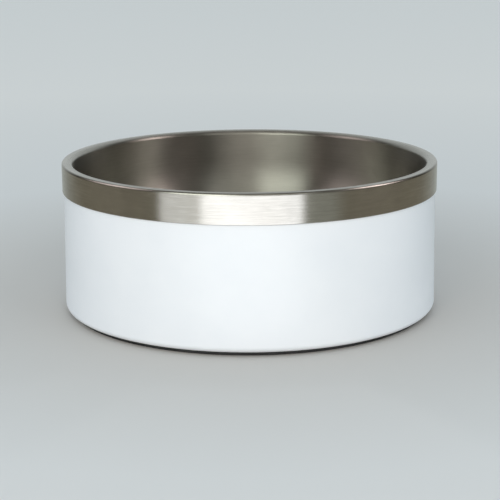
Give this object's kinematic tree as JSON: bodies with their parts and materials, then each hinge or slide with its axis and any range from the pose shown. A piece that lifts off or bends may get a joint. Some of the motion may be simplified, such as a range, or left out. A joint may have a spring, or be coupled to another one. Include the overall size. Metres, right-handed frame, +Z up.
{
  "type": "pet bowl",
  "caption": "Round straight-sided pet bowl with a steel inside, a bare rolled rim, a white coated outer wall and a black non-slip ring under its foot.",
  "frame": {"origin": "centre of the circle on which the non-slip ring meets the floor", "axes": "+Z up along the bowl's axis, out of its mouth; +X and +Y are any two square directions, because the bowl is round"},
  "size_m": [0.208, 0.208, 0.084],
  "materials": {
    "brushed_steel": "fine brush marks round the rim, satin inside",
    "white_coat": "semi-matt powder coat with a fine orange peel",
    "seal_compound": "matt sealing compound",
    "black_rubber": "matt moulded rubber"
  },
  "bodies": {
    "ring": {"non_slip_ring": "black_rubber"},
    "bowl": {"inner_bowl": "brushed_steel", "outer_shell": "white_coat", "rim_seal": "seal_compound"}
  },
  "joints": [
    {"name": "bowl_lift", "type": "slide", "parent": "ring", "child": "bowl", "axis": [0, 0, 1], "range_m": [0, 0.025]}
  ]
}
